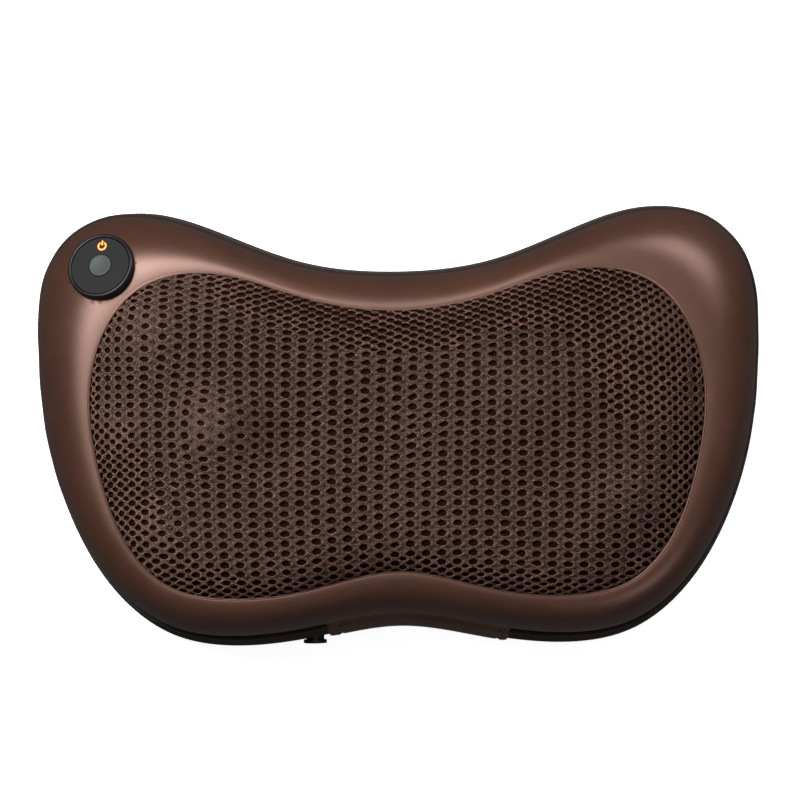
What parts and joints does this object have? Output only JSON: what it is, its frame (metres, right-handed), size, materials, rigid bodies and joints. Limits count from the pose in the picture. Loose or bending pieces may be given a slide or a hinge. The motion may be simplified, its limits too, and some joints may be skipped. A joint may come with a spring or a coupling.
{
  "type": "shiatsu neck massager",
  "caption": "Bow-tie shaped massage pillow with a padded leather border, an open mesh panel over rotating kneading heads, a push button control and a power socket.",
  "frame": {"origin": "middle of the flat back that the pillow lies on", "axes": "+X to the right side of the massaging face, +Y to the top edge with the control, +Z out of the massaging face"},
  "size_m": [0.3112, 0.1881, 0.096],
  "materials": {
    "leather": "satin bronze-brown synthetic leather with a pearl sheen",
    "mesh": "brown open mesh over dark lining",
    "side_fabric": "dark brown woven polyester",
    "piping": "fabric-wrapped cord",
    "strap": "ribbed black elastic webbing",
    "foam": "open-cell grey foam",
    "control_black": "black satin plastic",
    "control_grey": "dark grey fine-textured plastic",
    "button_grey": "grey fine-textured plastic",
    "lens": "amber light guide",
    "housing": "moulded black plastic",
    "gearing": "natural acetal",
    "ball": "smooth soft-touch plastic",
    "steel": "turned steel",
    "screw": "zinc-plated steel",
    "bronze": "sintered bronze",
    "magnet": "ferrite",
    "winding": "laminated core with copper windings",
    "board": "green solder mask",
    "lead": "black PVC",
    "zip": "dark nylon coil"
  },
  "bodies": {
    "pillow": {"bearing_cap_screws": "screw", "bearing_caps": "housing", "bottom_patch": "leather", "control_bezel": "control_black", "control_board": "board", "control_face": "control_grey", "dc_jack": "control_black", "elastic_strap": "strap", "foam_pad": "foam", "front_housing": "housing", "gearbox_cover_left": "housing", "gearbox_cover_right": "housing", "gearbox_screws": "screw", "head_bushes_left": "bronze", "head_bushes_right": "bronze", "housing_screws": "screw", "indicator_led": "lens", "jack_lead": "lead", "jack_pin": "bronze", "leather_border": "leather", "mesh_panel": "mesh", "motor_can": "steel", "motor_clamp": "steel", "motor_clamp_screws": "screw", "motor_end_cap": "housing", "motor_lead": "lead", "motor_magnets": "magnet", "piping": "piping", "power_lens": "lens", "rear_cover": "side_fabric", "rear_housing": "housing", "strap_patches": "leather", "tact_switch": "control_black", "worm_bushes": "bronze", "zip_tape": "zip"},
    "motor_rotor": {"motor_shaft": "steel", "motor_armature": "winding", "worm_left": "gearing", "worm_right": "gearing"},
    "power_button": {"power_button": "button_grey"},
    "zip_slider": {"zip_slider": "screw"},
    "zip_pull": {"zip_pull": "screw"},
    "head_left": {"worm_wheel_left": "gearing", "output_shaft_left": "steel", "rotor_left": "housing", "rotor_screw_left": "screw", "tall_balls_left": "ball", "short_balls_left": "ball", "ball_screws_left": "screw"},
    "head_right": {"worm_wheel_right": "gearing", "output_shaft_right": "steel", "rotor_right": "housing", "rotor_screw_right": "screw", "tall_balls_right": "ball", "short_balls_right": "ball", "ball_screws_right": "screw"}
  },
  "joints": [
    {"name": "head_left_spin", "type": "hinge", "parent": "pillow", "child": "head_left", "pos_m": [-0.078, 0, 0.04], "axis": [0, 0, 1], "continuous": true},
    {"name": "head_right_spin", "type": "hinge", "parent": "pillow", "child": "head_right", "pos_m": [0.078, 0, 0.04], "axis": [0, 0, 1], "continuous": true},
    {"name": "motor_spin", "type": "hinge", "parent": "pillow", "child": "motor_rotor", "pos_m": [0, -0.028, 0.0248], "axis": [1, 0, 0], "continuous": true},
    {"name": "power_button_press", "type": "slide", "parent": "pillow", "child": "power_button", "axis": [0.1965, -0.2806, -0.9395], "range_m": [0, 0.0006], "stiffness_N_per_m": 600, "springref_m": -0.0004},
    {"name": "zip_slide", "type": "slide", "parent": "pillow", "child": "zip_slider", "axis": [1, 0, 0], "range_m": [0, 0.12]},
    {"name": "zip_pull_flip", "type": "hinge", "parent": "zip_slider", "child": "zip_pull", "pos_m": [-0.056, -0.056, 0.001], "axis": [0, 1, 0], "range_deg": [0, 100]}
  ],
  "couplings": [
    {"joint": "head_right_spin", "follows": "head_left_spin", "ratio": -1},
    {"joint": "motor_spin", "follows": "head_left_spin", "ratio": 30}
  ]
}
